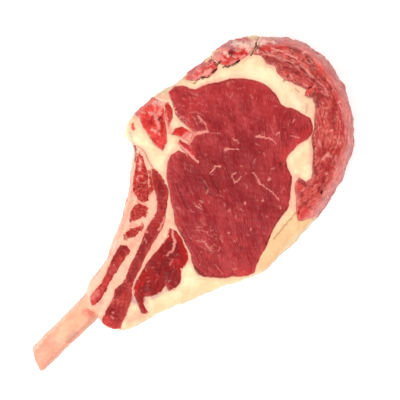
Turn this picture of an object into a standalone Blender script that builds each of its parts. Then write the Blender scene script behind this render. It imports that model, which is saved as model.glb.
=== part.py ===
"""Thick bone-in rib slice of raw beef, one rib wide, with its long scraped rib bone.

Metres, +Z up. The slice lies on its lower cut face at z = 0, with the other cut face up.
+X runs from the sawn end of the bone to the cap of the rib, +Y to the backbone side.
The origin is under the middle of the whole. Each muscle, the bone and the fat run through the
slice from one cut face to the other, as a saw leaves them, and lie a hair apart.
"""

import math

import bmesh
import bpy
from mathutils import Vector

MM = 0.001

# The slice
THICKNESS = 45 * MM          # one rib with half of the meat on each side of it
OUTER_RIM = 5.5 * MM         # rounding of the outside where it meets the cut faces
RIM_STEPS = 2                # facets in that rounding
SEAM_RIM = 0.9 * MM          # small rounding of a piece where it meets its neighbour
GAP = 0.3 * MM               # clearance between neighbouring pieces
OUTLINE_STEP = 5.0 * MM      # length of a piece's facets along its outline
OUTSIDE_STEP = 6.5 * MM      # the same along the outside of the slice
CUTTER_REACH = 6 * MM        # how far a cutter passes both cut faces

# The scraped end of the rib bone: a rib is a flat bar, and stands on edge in the slice
SHAFT_START = -156.5 * MM    # sawn end, at the middle of its width
SHAFT_END = -80 * MM         # inside the slice
SHAFT_AXIS_Y = -3.0 * MM
SHAFT_AXIS_Z = 22.5 * MM
SHAFT_SLANT = 0.44           # the saw crossed the bone this far from square
SHAFT_SIDES = 26
SHAFT_SQUARENESS = 2.5       # exponent of the flattened oval section
SHAFT_EDGE = 1.6 * MM        # rounding of the sawn end
# Distance from the sawn end, then the bone's width seen from above and its height there
SHAFT_SECTIONS = (
    (0 * MM, 18.2 * MM, 30.0 * MM),
    (9 * MM, 18.6 * MM, 31.0 * MM),
    (24 * MM, 19.2 * MM, 31.4 * MM),
    (40 * MM, 19.4 * MM, 32.6 * MM),
    (56 * MM, 19.4 * MM, 34.6 * MM),
    (76 * MM, 19.0 * MM, 37.0 * MM),
)

# Outlines seen from above, in millimetres, each a smooth closed curve through its points
SLICE_OUTLINE = (
    (-100.3, -20), (-99.6, -12), (-98, -3), (-94, 5), (-86, 10.6), (-72, 12.6), (-57, 16),
    (-46, 21.5), (-32, 29), (-17, 38), (-2, 49.5), (7, 56.5), (11.2, 62), (12.5, 70),
    (18, 74.8), (31, 76.6), (50, 75), (72, 70), (97, 66.8), (117, 65), (128, 57.5),
    (140, 46.5), (151, 35), (157, 21), (159.2, 4), (156.5, -14), (149, -31.5), (137, -48.5),
    (118, -62.5), (96, -70.5), (72, -75.6), (42, -76.8), (10, -75.8), (-12, -65), (-40, -53),
    (-66, -42.2), (-88, -35.6), (-96.5, -29),
)
EYE_OUTLINE = (
    (-21.8, -38), (-16, -27), (-11.2, -13), (-8, -4), (0, 8), (7, 18.5), (16, 28.5), (26, 34.3),
    (32, 32.8), (35, 26.5), (36, 37), (38.6, 37.6), (41, 30), (45, 30.6), (50, 33.4),
    (49.2, 43), (50, 53), (55, 61.5), (58.5, 70.2), (63.5, 70.4), (69.5, 65), (72.2, 57.8),
    (84, 52), (100, 41.3), (109.8, 30.3), (113.6, 18), (111.7, 3), (116, -9.5), (118.4, -19),
    (111, -29.6), (98, -26.6), (83.5, -28.9), (80.8, -34), (77.5, -41.5), (70.5, -47.5),
    (61, -54.8), (45, -57.4), (29, -64), (13, -69.2), (6.5, -73.2), (-2, -67.7), (-13, -56.2),
    (-20.6, -47),
)
CAP_OUTLINE = (
    (122.4, 45.2), (126.2, 39.5), (125.2, 33), (128.2, 26.6), (125.8, 20.5), (126.2, 13.6),
    (129.6, 6), (132.6, -1.4), (128.8, -5), (131, -11.2), (120.8, -22.2), (108, -33.6),
    (96, -44.6), (88.5, -52.2), (83, -51.4), (81.4, -45.8), (75.6, -47.2), (70, -55),
    (62, -63), (59, -68.5), (66, -73), (72, -82), (110, -78), (150, -52), (170, -10),
    (170, 25), (150, 50), (141, 52), (136.6, 48.6), (129.5, 47),
)
UPPER_STRIP_OUTLINE = (
    (73.6, 76), (74.8, 67.2), (80, 62.2), (85, 60.4), (87, 56.6), (95, 55.8), (98.4, 59),
    (99.2, 64), (99.2, 74), (86, 76),
)
UPPER_CORNER_OUTLINE = (
    (101, 74), (101, 64), (100.4, 58), (101.6, 53.6), (110, 49.2), (120.6, 47.4), (128, 48.8),
    (133.6, 50.8), (142, 56), (128, 70),
)
CHINE_OUTLINE = (
    (23.4, 42.2), (30, 43.8), (36, 49), (40, 56), (45.4, 63.2), (48, 68), (47, 73), (48, 84),
    (30, 84), (27.8, 73), (25.6, 61), (22.9, 50),
)
CHINE_LOBE_OUTLINE = (
    (41, 51.2), (46, 53.4), (51, 58.8), (52.8, 64), (49.4, 65), (45.4, 61.6), (42.4, 56.4),
)
CHINE_MUSCLE_OUTLINE = (
    (38, 44.6), (42.4, 46.4), (46, 44.4), (47.4, 38.2), (48.4, 34.6), (43.4, 32.6),
    (40.8, 38.6),
)
UPPER_MARROW_OUTLINE = (
    (-16.4, 29.4), (-14, 36.4), (-8, 42), (-1, 47.4), (5.4, 52), (10, 52.4), (9.4, 45.6),
    (5, 39.2), (0, 32.8), (-5.4, 26.2), (-10, 21.6), (-13, 22.6),
)
MIDDLE_MARROW_OUTLINE = (
    (-31, 23), (-26, 26), (-20.6, 28.4), (-16.2, 26), (-13.6, 20), (-17, 16.6), (-25, 16.6),
    (-29, 19),
)
LOWER_MARROW_OUTLINE = (
    (-42, 13.6), (-39.6, 18.4), (-34, 18.2), (-31, 15.4), (-25.6, 13), (-29, 11.2),
    (-37, 10.4),
)
RIB_STRIP_OUTLINE = (
    (-96.6, -3.4), (-92, 3), (-85, 4.2), (-78, 4.6), (-68, 8.2), (-59, 12.3), (-49, 14.2),
    (-45, 11), (-46.6, 6), (-58, 4), (-71, 0), (-84, -3.6), (-92, -5.6),
)
FLANK_STRIP_OUTLINE = (
    (7.4, 37.6), (9.6, 30), (6, 19), (-4, 9.8), (-14, 2.6), (-28, -2), (-46, -7),
    (-62, -12.4), (-73, -20.8), (-82, -25.4), (-90, -27.6), (-96, -33), (-104, -30), (-108, -20),
    (-99, -16.4), (-91, -12.8), (-80, -9.6), (-75.6, -7), (-69, -8), (-57, -3), (-45, 1.6),
    (-35, 5.2), (-24, 9.8), (-11, 13.6), (-4.6, 21.6), (1.6, 31),
)
TAIL_OUTLINE = (
    (-13.6, -4), (-20, -7), (-34, -9.2), (-50, -10.8), (-62, -14.2), (-68.4, -19.4),
    (-69.6, -26), (-73.6, -33.6), (-70, -35), (-68, -30), (-63, -26), (-60, -29.4),
    (-50.6, -31.8), (-46, -31), (-47.2, -36), (-37.4, -37.6), (-30, -31.8), (-20, -29),
    (-15, -19.6), (-11.8, -8),
)
# The pale band along the ribs. Its lower edge runs under the flank strip, which is cut out of it
BONE_BAND_OUTLINE = (
    (-108, -18.4), (-97, -18.6), (-84, -13), (-66, -9.6), (-50, -3), (-30, 3.6), (-12, 10),
    (0, 24), (9.6, 38.6), (11.8, 47), (11.4, 57), (8, 68), (-20, 48), (-50, 28), (-88, 18),
    (-104, 10),
)

# Colour, roughness of each kind of tissue
LEAN = ((0.42, 0.030, 0.032), 0.38)
CAP_LEAN = ((0.50, 0.060, 0.055), 0.42)
MARROW = ((0.48, 0.045, 0.040), 0.40)
FAT = ((0.90, 0.70, 0.46), 0.50)
BONE = ((0.82, 0.52, 0.36), 0.48)


def clear_scene():
    for item in list(bpy.data.objects):
        bpy.data.objects.remove(item, do_unlink=True)


def tissue(name, look):
    """A plain material of one tissue's colour and roughness."""
    colour, roughness = look
    material = bpy.data.materials.new(name)
    material.use_nodes = True
    shader = material.node_tree.nodes["Principled BSDF"]
    shader.inputs["Base Color"].default_value = (*colour, 1.0)
    shader.inputs["Roughness"].default_value = roughness
    shader.inputs["Metallic"].default_value = 0.0
    return material


def curve_point(before, start, end, after, share):
    """A point between start and end of the centripetal Catmull-Rom curve, which never loops."""
    span_in, span, span_out = (
        math.sqrt((b - a).length) for a, b in ((before, start), (start, end), (end, after))
    )
    leave = (end - start) + span * ((start - before) / span_in - (end - before) / (span_in + span))
    arrive = (end - start) + span * ((after - end) / span_out - (after - start) / (span + span_out))
    double, cube = share * share, share * share * share
    return (
        (2 * cube - 3 * double + 1) * start
        + (cube - 2 * double + share) * leave
        + (3 * double - 2 * cube) * end
        + (cube - double) * arrive
    )


def smooth_outline(points_mm, step=OUTLINE_STEP):
    """The closed curve through the points, in metres and counter-clockwise, facet by facet."""
    knots = [Vector(point) * MM for point in points_mm]
    turn = sum(a.x * b.y - b.x * a.y for a, b in zip(knots, knots[1:] + knots[:1]))
    if turn < 0:
        knots.reverse()
    count = len(knots)
    outline = []
    for i, start in enumerate(knots):
        end = knots[(i + 1) % count]
        facets = max(1, round((end - start).length / step))
        for k in range(facets):
            outline.append(
                curve_point(knots[i - 1], start, end, knots[(i + 2) % count], k / facets)
            )
    return outline


def grown(outline, distance):
    """The outline moved outwards by a distance, or inwards where the distance is negative."""
    moved = []
    count = len(outline)
    for i, point in enumerate(outline):
        arriving = (point - outline[i - 1]).normalized()
        leaving = (outline[(i + 1) % count] - point).normalized()
        across = arriving + leaving
        outward = Vector((across.y, -across.x)).normalized()
        half_turn = max(0.6, outward.dot(Vector((leaving.y, -leaving.x))))
        moved.append(point + outward * (distance / half_turn))
    return moved


def loft(name, rings, material):
    """A closed body through rings of equal length, from the lowest to the highest."""
    mesh = bmesh.new()
    loops = [[mesh.verts.new(point) for point in ring] for ring in rings]
    for lower, upper in zip(loops, loops[1:]):
        for i in range(len(lower)):
            j = (i + 1) % len(lower)
            mesh.faces.new((lower[i], lower[j], upper[j], upper[i]))
    mesh.faces.new(list(reversed(loops[0])))
    mesh.faces.new(loops[-1])
    data = bpy.data.meshes.new(name)
    mesh.to_mesh(data)
    mesh.free()
    data.materials.append(material)
    item = bpy.data.objects.new(name, data)
    bpy.context.scene.collection.objects.link(item)
    return item


def level(outline, height):
    return [(point.x, point.y, height) for point in outline]


def guide(item):
    """Marks a body that only cuts others."""
    item.hide_render = True
    item.display_type = "WIRE"
    return item


def cut_through_slab(name, points_mm, material):
    """A piece of the slice as the saw leaves it, its two faces flat and its rims eased."""
    outline = smooth_outline(points_mm)
    eased = grown(outline, -SEAM_RIM)
    rings = (
        level(eased, 0.0),
        level(outline, SEAM_RIM),
        level(outline, THICKNESS - SEAM_RIM),
        level(eased, THICKNESS),
    )
    return loft(name, rings, material)


def clearance_cutter(name, points_mm, material):
    """The straight-sided body that makes room for a piece and the gap round it."""
    outline = grown(smooth_outline(points_mm), GAP)
    rings = (level(outline, -CUTTER_REACH), level(outline, THICKNESS + CUTTER_REACH))
    return guide(loft(name + "_room", rings, material))


def slice_form(name, material):
    """The whole slice without the scraped bone, its rims rounded."""
    outline = smooth_outline(SLICE_OUTLINE, OUTSIDE_STEP)
    rounding = []
    for k in range(RIM_STEPS + 1):
        angle = math.radians(90) * k / RIM_STEPS
        rounding.append((OUTER_RIM * (1 - math.cos(angle)), OUTER_RIM * (1 - math.sin(angle))))
    rings = [level(grown(outline, -inset), height) for height, inset in rounding]
    rings += [level(grown(outline, -inset), THICKNESS - height) for height, inset in reversed(rounding)]
    return loft(name, rings, material)


def bone_section(distance, width, height, inset=0.0):
    """One flattened oval across the rib, its plane slanted as the saw cut it near the end."""
    ring = []
    squareness = 2 / SHAFT_SQUARENESS
    for k in range(SHAFT_SIDES):
        angle = math.tau * k / SHAFT_SIDES
        side, rise = math.cos(angle), math.sin(angle)
        y = math.copysign(abs(side) ** squareness, side) * (width / 2 - inset)
        z = math.copysign(abs(rise) ** squareness, rise) * (height / 2 - inset)
        fade = max(0.0, 1 - distance / (SHAFT_END - SHAFT_START))
        x = SHAFT_START + distance + SHAFT_SLANT * fade * y
        ring.append((x, SHAFT_AXIS_Y + y, SHAFT_AXIS_Z + z))
    return ring


def rib_shaft(name, material):
    """The scraped bone from its sawn end into the slice."""
    _, end_width, end_height = SHAFT_SECTIONS[0]
    rings = [bone_section(0.0, end_width, end_height, SHAFT_EDGE)]
    rings.append(bone_section(SHAFT_EDGE, end_width, end_height))
    rings += [bone_section(*section) for section in SHAFT_SECTIONS[1:]]
    return guide(loft(name, rings, material))


def boolean(item, operation, other):
    """Adds a live Boolean with one body, or with a whole collection of them."""
    modifier = item.modifiers.new(operation.lower(), "BOOLEAN")
    modifier.operation = operation
    modifier.solver = "EXACT"
    if isinstance(other, bpy.types.Collection):
        modifier.operand_type = "COLLECTION"
        modifier.collection = other
    else:
        modifier.object = other


def cutter_collection(name, outlines, material):
    """Clearance cutters of several pieces, gathered for one Boolean."""
    gathered = bpy.data.collections.new(name)
    bpy.context.scene.collection.children.link(gathered)
    for piece, points_mm in outlines.items():
        cutter = clearance_cutter(f"{name}_{piece}", points_mm, material)
        bpy.context.scene.collection.objects.unlink(cutter)
        gathered.objects.link(cutter)
    return gathered


clear_scene()

lean = tissue("lean", LEAN)
cap_lean = tissue("cap_lean", CAP_LEAN)
marrow = tissue("marrow", MARROW)
fat = tissue("fat", FAT)
bone = tissue("bone", BONE)

# Pieces that lie inside the slice, clear of its rounded rims
INNER_PIECES = {
    "tail_muscle": (TAIL_OUTLINE, lean),
    "chine_muscle": (CHINE_MUSCLE_OUTLINE, lean),
    "chine_lobe": (CHINE_LOBE_OUTLINE, marrow),
    "middle_marrow": (MIDDLE_MARROW_OUTLINE, marrow),
    "lower_marrow": (LOWER_MARROW_OUTLINE, marrow),
}
# Pieces that reach the outside of the slice, or its rims, and take its rounding there
OUTER_PIECES = {
    "eye_muscle": (EYE_OUTLINE, lean),
    "cap_muscle": (CAP_OUTLINE, cap_lean),
    "upper_strip_muscle": (UPPER_STRIP_OUTLINE, cap_lean),
    "upper_corner_muscle": (UPPER_CORNER_OUTLINE, cap_lean),
    "flank_strip_muscle": (FLANK_STRIP_OUTLINE, lean),
    "rib_strip_muscle": (RIB_STRIP_OUTLINE, lean),
    "chine_bone": (CHINE_OUTLINE, marrow),
    "upper_marrow": (UPPER_MARROW_OUTLINE, marrow),
}
# Pieces bedded in the bone band, and the strip that lies along its lower edge
BEDDED_IN_BONE = (
    "rib_strip_muscle", "upper_marrow", "middle_marrow", "lower_marrow", "flank_strip_muscle",
)

whole_form = guide(slice_form("slice_form", fat))

for piece_name, (piece_outline, piece_material) in INNER_PIECES.items():
    cut_through_slab(piece_name, piece_outline, piece_material)

for piece_name, (piece_outline, piece_material) in OUTER_PIECES.items():
    boolean(cut_through_slab(piece_name, piece_outline, piece_material), "INTERSECT", whole_form)

all_outlines = {name: outline for name, (outline, _) in {**INNER_PIECES, **OUTER_PIECES}.items()}

# Rib bone: the band within the slice and the scraped shaft, less the pieces bedded in it
bone_rooms = cutter_collection(
    "bone_rooms", {name: all_outlines[name] for name in BEDDED_IN_BONE}, lean
)
rib_bone = cut_through_slab("rib_bone", BONE_BAND_OUTLINE, bone)
boolean(rib_bone, "INTERSECT", whole_form)
boolean(rib_bone, "UNION", rib_shaft("rib_shaft", bone))
boolean(rib_bone, "DIFFERENCE", bone_rooms)

# Fat: all of the slice that is neither muscle nor bone
fat_rooms = cutter_collection("fat_rooms", {**all_outlines, "rib_bone": BONE_BAND_OUTLINE}, fat)
fat_cover = slice_form("fat_cover", fat)
boolean(fat_cover, "DIFFERENCE", fat_rooms)
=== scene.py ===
"""Looks of a thick bone-in slice of raw beef rib, seen from straight above on a white table."""

import math

import bpy
import numpy as np
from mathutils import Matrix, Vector
from mathutils.bvhtree import BVHTree
from mathutils.kdtree import KDTree


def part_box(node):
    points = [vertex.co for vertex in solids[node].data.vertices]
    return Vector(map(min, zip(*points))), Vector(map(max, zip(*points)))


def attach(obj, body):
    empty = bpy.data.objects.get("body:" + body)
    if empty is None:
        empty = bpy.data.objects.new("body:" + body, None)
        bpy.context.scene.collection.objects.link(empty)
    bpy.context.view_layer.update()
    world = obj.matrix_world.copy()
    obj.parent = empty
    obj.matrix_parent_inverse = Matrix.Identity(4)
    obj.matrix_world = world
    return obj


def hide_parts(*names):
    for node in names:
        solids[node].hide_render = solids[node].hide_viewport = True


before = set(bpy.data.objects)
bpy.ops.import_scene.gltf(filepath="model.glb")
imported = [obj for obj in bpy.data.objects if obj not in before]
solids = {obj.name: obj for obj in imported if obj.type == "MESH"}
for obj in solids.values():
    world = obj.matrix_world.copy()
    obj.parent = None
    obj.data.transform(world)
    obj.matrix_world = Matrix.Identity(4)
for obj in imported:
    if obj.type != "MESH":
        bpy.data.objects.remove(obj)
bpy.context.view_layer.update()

# Camera
# The photograph looks straight down, with the scraped bone towards its lower left corner.
# A long lens from high up keeps the sides of the slice out of sight, as there.
MM = 0.001
PICTURE_WIDTH = 300 * MM      # what the picture takes in, on the upper cut face
PICTURE_CENTRE = Vector((17.2, -4.5, 45)) * MM
CAMERA_HEIGHT = 2
PICTURE_TURN = math.radians(-45)
scene = bpy.context.scene

camera_data = bpy.data.cameras.new("camera")
camera_data.lens = camera_data.sensor_width * CAMERA_HEIGHT / PICTURE_WIDTH
camera = bpy.data.objects.new("camera", camera_data)
camera.location = PICTURE_CENTRE + Vector((0, 0, CAMERA_HEIGHT))
camera.rotation_euler = (0, 0, PICTURE_TURN)
scene.collection.objects.link(camera)
scene.camera = camera

# Table and light
# A white table lit from below in a white tent, so that nothing casts a shadow on it. One large
# soft lamp at the picture's lower left leaves the rims away from it a little darker.
TENT_LIGHT = 0.95
TABLE_GLOW = 0.35
TABLE_SIZE = 6
TABLE_DROP = 0.2 * MM         # keeps the table clear of the slice
LAMP_WAY = (-1, 0.1, 1.3)
LAMP_DISTANCE = 1.6
LAMP_SIZE = 0.7
LAMP_WATTS = 26
WHITE = (1, 1, 1, 1)
scene.view_settings.view_transform = "Standard"
bpy.ops.mesh.primitive_plane_add(size=TABLE_SIZE, location=(0, 0, -TABLE_DROP))
table = bpy.context.object
table.name = "table"
table_white = bpy.data.materials.new("table_white")
table_white.use_nodes = True
table_look = {
    "Base Color": (0.93, 0.93, 0.93, 1), "Roughness": 0.9,
    "Emission Color": WHITE, "Emission Strength": TABLE_GLOW,
}
for name, value in table_look.items():
    table_white.node_tree.nodes["Principled BSDF"].inputs[name].default_value = value
table.data.materials.append(table_white)

tent = bpy.data.worlds.new("tent")
tent.use_nodes = True
background = tent.node_tree.nodes["Background"].inputs
background["Color"].default_value = WHITE
background["Strength"].default_value = TENT_LIGHT
scene.world = tent

lamp_data = bpy.data.lights.new("key", "AREA")
lamp_data.size = LAMP_SIZE
lamp_data.energy = LAMP_WATTS
lamp = bpy.data.objects.new("key", lamp_data)
lamp.location = Vector(LAMP_WAY).normalized() * LAMP_DISTANCE
lamp.rotation_euler = lamp.location.to_track_quat("Z", "Y").to_euler()
scene.collection.objects.link(lamp)

# Eye muscle
# The long round muscle beside the backbone, sawn straight across its grain. Dark moist lean
# with fine pale marbling, a few longer veins, and a lobe at the top behind a thin seam.
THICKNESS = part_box("eye_muscle")[1].z
SEAM_RIM = 0.9 * MM           # eased rim of a solid where it meets its neighbour
SEAM_GAP = 0.27 * MM          # room between the solids, which flesh fills
FACE_DEPTH = 1.6 * MM         # how deep from a cut face still counts as its rim
COARSENESS = 1
FACE_EDGE = 1 * MM * COARSENESS  # longest edge in the mesh, on the upper cut face
UNDER_EDGE = 1.6 * MM * COARSENESS
SIDE_EDGE = 1.5 * MM * COARSENESS
HIDDEN_EDGE = 12 * MM
REFINE_ROUNDS = 16            # at most, each halving the edges that are too long
BEAUTY_LIMIT = 60000          # faces, past which the mesh is even enough as it is
NEIGHBOUR_REACH = 3 * MM      # a face with a solid this near is a seam
OUTLINE_REACH = 20 * MM       # how far inside the outline is still measured
OUTLINE_BLUR = 4 * MM         # over how much of the outline the way out is averaged
SEAM_REACH = 15 * MM          # how far from a seam is still measured
SEAM_OUT = 0.85 * SEAM_RIM    # how far a seam's eased rim is pushed out
SEAM_UP = 0.7 * SEAM_RIM      # and up, to close its groove
MEAT_START = -104 * MM        # where the scraped bone ends and the meat begins
MEAT_FADE = 30 * MM           # over how much of it the flesh's swells grow in
BULGE_DEPTH = 5 * MM          # how far in from the outline a wall's bulge reaches
UNDER_SHIFT = 2.3 * MM        # how far the lower face's drawing is displaced
VEIN_RISE = 0.15 * MM
CLEFT_DEPTH = 1.3 * MM
SEAM_DIP = 0.12 * MM          # how far the upper face sinks at a seam
MERGE_REACH = 0.01 * MM
FAR_END = (-200, -60)         # mm, where fibres fan out from that are given no other place
NEARLY = 0.1 * MM             # a corner this near a solid's level lies on it
WAVES = 16                    # that make up a smooth wander
AT_ONCE = 4000                # points whose distances are worked out together

solid_corners, solid_faces = [], []
for solid in solids.values():
    first = len(solid_corners)
    solid_corners += [corner.co.copy() for corner in solid.data.vertices]
    solid_faces += [[first + i for i in face.vertices] for face in solid.data.polygons]
all_solids = BVHTree.FromPolygons(solid_corners, solid_faces)


def is_covered(face):
    """Whether a neighbour lies right in front of a solid's face."""
    start = face.center + face.normal * 0.02 * MM
    return all_solids.ray_cast(start, face.normal, NEIGHBOUR_REACH)[0] is not None


def outline_of_slice():
    """Places along the outside of the slice in plan, 1 mm apart, and the way out at each."""
    places, ways = [], []
    for solid in solids.values():
        for face in solid.data.polygons:
            if is_covered(face) or abs(face.normal.z) > 0.3:
                continue
            side = Vector((-face.normal.y, face.normal.x))
            ends = sorted((solid.data.vertices[i].co.xy for i in face.vertices), key=side.dot)
            for share in np.linspace(0, 1, 2 + int((ends[-1] - ends[0]).length / MM)):
                places.append(ends[0].lerp(ends[-1], share))
                ways.append(face.normal.xy)
    cells = np.round(np.array(places) / (0.7 * MM))
    first = np.unique(cells, axis=0, return_index=True)[1]
    return np.array(places)[first], np.array(ways)[first]


outline_places, outline_ways = outline_of_slice()


def near_outline(points):
    """How far each point lies inside the outline in plan, and the way out there."""
    rim, way = np.full(len(points), OUTLINE_REACH), np.zeros((len(points), 2))
    for share in np.array_split(np.arange(len(points)), 1 + len(points) // AT_ONCE):
        distance = np.linalg.norm(points[share, None, :2] - outline_places[None], axis=2)
        rim[share] = np.minimum(rim[share], distance.min(axis=1))
        way[share] = np.exp(-(distance / OUTLINE_BLUR) ** 2) @ outline_ways
    return rim, way / np.maximum(np.linalg.norm(way, axis=1), 1e-9)[:, None]


def wander(points, size, seed):
    """A smooth value between about -1 and 1 at each point, its swells about one size long."""
    dice = np.random.default_rng(seed)
    waves = dice.normal(size=(WAVES, 3))
    pace = math.tau / size * dice.uniform(0.6, 1.5, WAVES)
    waves *= (pace / np.linalg.norm(waves, axis=1))[:, None]
    return np.sin(points @ waves.T + dice.uniform(0, math.tau, WAVES)).sum(axis=1) / 4.6


def read(data, layer, width):
    """One of a mesh's layers as an array."""
    items = getattr(data, layer[0])
    values = np.zeros(len(items) * width, np.float32 if layer[2] == "f" else np.int32)
    items.foreach_get(layer[1], values)
    return values.reshape(-1, width) if width > 1 else values


def corners_of(data):
    return read(data, ("vertices", "co", "f"), 3).astype(float)


def directions_of(data):
    return read(data, ("vertex_normals", "vector", "f"), 3).astype(float)


def faces_of_loops(data):
    return np.repeat(np.arange(len(data.polygons)), read(data, ("polygons", "loop_total", "i"), 1))


def outer_faces(data):
    """Which faces lie on the outside of the slice or its cut faces, as 1, and 0 for the rest."""
    flags = np.zeros(len(data.polygons), np.int32)
    data.attributes["outer"].data.foreach_get("value", flags)
    return flags


def touching(data, face_flags):
    """Which corners belong to at least one flagged face."""
    corner_of_loop = read(data, ("loops", "vertex_index", "i"), 1)
    flags = np.zeros(len(data.vertices), bool)
    np.logical_or.at(flags, corner_of_loop, face_flags[faces_of_loops(data)].astype(bool))
    return flags


def pick(data, layer, flags):
    """Selects some corners or edges and nothing else, for the next work in edit mode."""
    for name in ("vertices", "edges", "polygons"):
        items = getattr(data, name)
        chosen = flags if name == layer else np.zeros(len(items), bool)
        items.foreach_set("select", chosen)
    bpy.context.tool_settings.mesh_select_mode = (layer == "vertices", layer == "edges", False)


def edit_mode(on):
    bpy.ops.object.mode_set(mode="EDIT" if on else "OBJECT")


def long_edges(data):
    """Which edges are still too long for where they lie."""
    points = corners_of(data)
    ends = read(data, ("edges", "vertices", "i"), 2)
    low = points[ends, 2].min(axis=1)
    high = points[ends, 2].max(axis=1)
    edge_of_loop = read(data, ("loops", "edge_index", "i"), 1)
    seen = np.zeros(len(ends), bool)
    np.logical_or.at(seen, edge_of_loop, outer_faces(data)[faces_of_loops(data)].astype(bool))
    limit = np.where(seen, SIDE_EDGE, HIDDEN_EDGE)
    limit = np.where(seen & (high < FACE_DEPTH), UNDER_EDGE, limit)
    limit = np.where(seen & (low > THICKNESS - FACE_DEPTH), FACE_EDGE, limit)
    return np.linalg.norm(points[ends[:, 0]] - points[ends[:, 1]], axis=1) > limit


def fine_copy(node, name, grow=True):
    """A copy of a solid, merged, its seams closed up, and cut fine where it can be seen."""
    piece = bpy.data.objects.new(name, solids[node].data.copy())
    data = piece.data
    data.materials.clear()
    scene.collection.objects.link(piece)
    bpy.ops.object.select_all(action="DESELECT")
    piece.select_set(True)
    bpy.context.view_layer.objects.active = piece
    pick(data, "vertices", np.ones(len(data.vertices), bool))
    edit_mode(True)
    bpy.ops.mesh.remove_doubles(threshold=MERGE_REACH)
    edit_mode(False)

    outer = data.attributes.new("outer", "INT", "FACE")
    outer.data.foreach_set("value", [int(not is_covered(face)) for face in data.polygons])
    if grow:
        outward = {}
        hidden = touching(data, 1 - outer_faces(data))
        for face in data.polygons:
            if abs(face.normal.z) < 0.95:
                for i in face.vertices:
                    outward[i] = outward.get(i, Vector((0, 0))) + face.normal.xy
        for i, direction in outward.items():
            if not hidden[i]:
                continue
            corner = data.vertices[i]
            step = SEAM_GAP
            if min(corner.co.z, THICKNESS - corner.co.z) < NEARLY:
                step += SEAM_OUT
            elif abs(THICKNESS - corner.co.z - SEAM_RIM) < NEARLY:
                corner.co.z += SEAM_UP
            elif abs(corner.co.z - SEAM_RIM) < NEARLY:
                corner.co.z -= SEAM_UP
            corner.co.xy += direction.normalized() * step

    for _ in range(REFINE_ROUNDS):
        flags = long_edges(data)
        if not flags.any():
            break
        pick(data, "edges", flags)
        edit_mode(True)
        bpy.ops.mesh.subdivide(number_cuts=1)
        bpy.ops.mesh.select_all(action="SELECT")
        bpy.ops.mesh.quads_convert_to_tris(quad_method="BEAUTY", ngon_method="BEAUTY")
        if len(data.polygons) < BEAUTY_LIMIT:
            bpy.ops.mesh.beautify_fill(angle_limit=0.01)
        edit_mode(False)
    pick(data, "vertices", ~touching(data, 1 - outer_faces(data)))
    edit_mode(True)
    bpy.ops.mesh.vertices_smooth(factor=0.5, repeat=5)
    edit_mode(False)
    return piece


def stroke_shade(points, strokes, wobble=0.35 * MM, seed=1):
    """How strongly a set of drawn strokes marks each point of a cut face, from 0 to 1.

    A stroke is its width in mm, its strength, and the x and y in mm of every place that it
    passes. A single place makes a spot.
    """
    near = points[:, :2].copy()
    near[:, 0] += wobble * wander(points, 3.4 * MM, seed)
    near[:, 1] += wobble * wander(points, 3.4 * MM, seed + 50)
    shade = np.zeros(len(points))
    for width, strength, *path in strokes:
        path = np.reshape(path, (-1, 2)) * MM
        reach = width * MM / 2
        for start, end in zip(path, np.vstack([path[1:], path[-1:]])):
            low = np.minimum(start, end) - 2 * reach
            high = np.maximum(start, end) + 2 * reach
            close = np.nonzero(((near > low) & (near < high)).all(axis=1))[0]
            along = end - start
            offset = near[close] - start
            share = np.clip(offset @ along / max(along @ along, 1e-12), 0, 1)
            distance = np.linalg.norm(offset - share[:, None] * along, axis=1)
            drawn = strength * np.clip(1.5 - distance / reach, 0, 1)
            shade[close] = np.maximum(shade[close], drawn)
    return np.clip(shade, 0, 1)


def store(piece, name, values):
    """Keeps one value for each corner for the materials to read."""
    layer = piece.data.attributes.new(name, "FLOAT", "POINT")
    layer.data.foreach_set("value", np.asarray(values, np.float32))


def seam_distance(data, points):
    """How far each corner lies from the nearest seam with a neighbour."""
    flags = outer_faces(data)
    seam = np.nonzero(touching(data, flags) & touching(data, 1 - flags))[0]
    if not len(seam):
        return np.full(len(points), SEAM_REACH)
    tree = KDTree(len(seam))
    for i in seam.tolist():
        tree.insert(points[i], i)
    tree.balance()
    return np.minimum([tree.find(point)[2] for point in points.tolist()], SEAM_REACH)


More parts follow.
